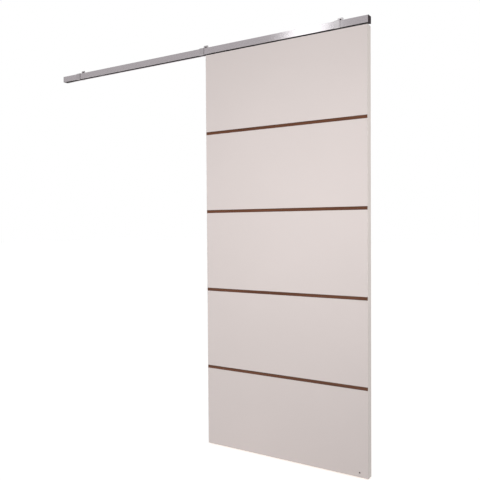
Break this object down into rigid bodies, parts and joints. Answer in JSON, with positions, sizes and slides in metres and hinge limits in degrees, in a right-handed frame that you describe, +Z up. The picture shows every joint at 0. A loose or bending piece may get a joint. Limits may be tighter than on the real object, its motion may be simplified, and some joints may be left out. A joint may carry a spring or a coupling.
{
  "type": "sliding door set",
  "caption": "Flush door leaf with inlaid cross strips, hung on two roller carriages in a wall-mounted aluminium track with clip-over brackets, end caps and a floor guide.",
  "frame": {"origin": "on the wall's surface behind the middle bracket, at the track's mid height", "axes": "+X along the track towards the closing end, +Y into the wall, +Z up"},
  "size_m": [1.97, 0.0836, 2.128],
  "materials": {
    "laminate": "warm light grey laminate on fibreboard, faint fine texture",
    "edge_lipping": "grey edge lipping, matt",
    "core_board": "raw chipboard",
    "walnut_strip": "dark brown walnut, satin",
    "aluminium": "satin anodised, brushed along its length",
    "steel": "zinc plated",
    "black_steel": "black oxide",
    "dark_plastic": "dark moulded plastic",
    "grey_plastic": "grey moulded plastic",
    "nylon": "off-white nylon",
    "rubber": "black rubber"
  },
  "bodies": {
    "frame": {"end_cap_left": "dark_plastic", "end_cap_right": "dark_plastic", "end_stop_left": "grey_plastic", "end_stop_right": "grey_plastic", "floor_guide": "nylon", "guide_screw_left": "steel", "guide_screw_right": "steel", "spacer_left": "grey_plastic", "spacer_middle": "grey_plastic", "spacer_right": "grey_plastic", "stop_buffer_left": "rubber", "stop_buffer_right": "rubber", "stop_screw_left": "black_steel", "stop_screw_right": "black_steel", "track_profile": "aluminium", "wall_bracket_left": "steel", "wall_bracket_middle": "steel", "wall_bracket_right": "steel", "wall_screw_left": "black_steel", "wall_screw_middle": "black_steel", "wall_screw_right": "black_steel"},
    "door": {"axle_left_a": "steel", "axle_left_b": "steel", "axle_right_a": "steel", "axle_right_b": "steel", "bolt_nut_left": "steel", "bolt_nut_right": "steel", "carriage_left": "black_steel", "carriage_right": "black_steel", "corner_plug": "dark_plastic", "door_core": "core_board", "door_skin_front": "laminate", "door_skin_rear": "laminate", "edge_lipping_left": "edge_lipping", "edge_lipping_right": "edge_lipping", "front_strip_1": "walnut_strip", "front_strip_2": "walnut_strip", "front_strip_3": "walnut_strip", "front_strip_4": "walnut_strip", "guide_channel": "grey_plastic", "hanger_bolt_left": "steel", "hanger_bolt_right": "steel", "hanger_plate_left": "steel", "hanger_plate_right": "steel", "plate_screw_left_a": "steel", "plate_screw_left_b": "steel", "plate_screw_right_a": "steel", "plate_screw_right_b": "steel", "rear_strip_1": "walnut_strip", "rear_strip_2": "walnut_strip", "rear_strip_3": "walnut_strip", "rear_strip_4": "walnut_strip"},
    "wheel_left_a_back": {"wheel_left_a_back": "nylon"},
    "wheel_left_a_front": {"wheel_left_a_front": "nylon"},
    "wheel_left_b_back": {"wheel_left_b_back": "nylon"},
    "wheel_left_b_front": {"wheel_left_b_front": "nylon"},
    "wheel_right_a_back": {"wheel_right_a_back": "nylon"},
    "wheel_right_a_front": {"wheel_right_a_front": "nylon"},
    "wheel_right_b_back": {"wheel_right_b_back": "nylon"},
    "wheel_right_b_front": {"wheel_right_b_front": "nylon"}
  },
  "joints": [
    {"name": "door_slide", "type": "slide", "parent": "frame", "child": "door", "axis": [-1, 0, 0], "range_m": [0, 0.823]},
    {"name": "wheel_left_a_front_spin", "type": "hinge", "parent": "door", "child": "wheel_left_a_front", "pos_m": [0.118, -0.0355, -0.0017], "axis": [0, -1, 0], "continuous": true},
    {"name": "wheel_left_a_back_spin", "type": "hinge", "parent": "door", "child": "wheel_left_a_back", "pos_m": [0.118, -0.0195, -0.0017], "axis": [0, -1, 0], "continuous": true},
    {"name": "wheel_left_b_front_spin", "type": "hinge", "parent": "door", "child": "wheel_left_b_front", "pos_m": [0.162, -0.0355, -0.0017], "axis": [0, -1, 0], "continuous": true},
    {"name": "wheel_left_b_back_spin", "type": "hinge", "parent": "door", "child": "wheel_left_b_back", "pos_m": [0.162, -0.0195, -0.0017], "axis": [0, -1, 0], "continuous": true},
    {"name": "wheel_right_a_front_spin", "type": "hinge", "parent": "door", "child": "wheel_right_a_front", "pos_m": [0.778, -0.0355, -0.0017], "axis": [0, -1, 0], "continuous": true},
    {"name": "wheel_right_a_back_spin", "type": "hinge", "parent": "door", "child": "wheel_right_a_back", "pos_m": [0.778, -0.0195, -0.0017], "axis": [0, -1, 0], "continuous": true},
    {"name": "wheel_right_b_front_spin", "type": "hinge", "parent": "door", "child": "wheel_right_b_front", "pos_m": [0.822, -0.0355, -0.0017], "axis": [0, -1, 0], "continuous": true},
    {"name": "wheel_right_b_back_spin", "type": "hinge", "parent": "door", "child": "wheel_right_b_back", "pos_m": [0.822, -0.0195, -0.0017], "axis": [0, -1, 0], "continuous": true}
  ],
  "couplings": [
    {"joint": "wheel_left_a_front_spin", "follows": "door_slide", "rad_per_m": 83.333},
    {"joint": "wheel_left_a_back_spin", "follows": "door_slide", "rad_per_m": 83.333},
    {"joint": "wheel_left_b_front_spin", "follows": "door_slide", "rad_per_m": 83.333},
    {"joint": "wheel_left_b_back_spin", "follows": "door_slide", "rad_per_m": 83.333},
    {"joint": "wheel_right_a_front_spin", "follows": "door_slide", "rad_per_m": 83.333},
    {"joint": "wheel_right_a_back_spin", "follows": "door_slide", "rad_per_m": 83.333},
    {"joint": "wheel_right_b_front_spin", "follows": "door_slide", "rad_per_m": 83.333},
    {"joint": "wheel_right_b_back_spin", "follows": "door_slide", "rad_per_m": 83.333}
  ]
}
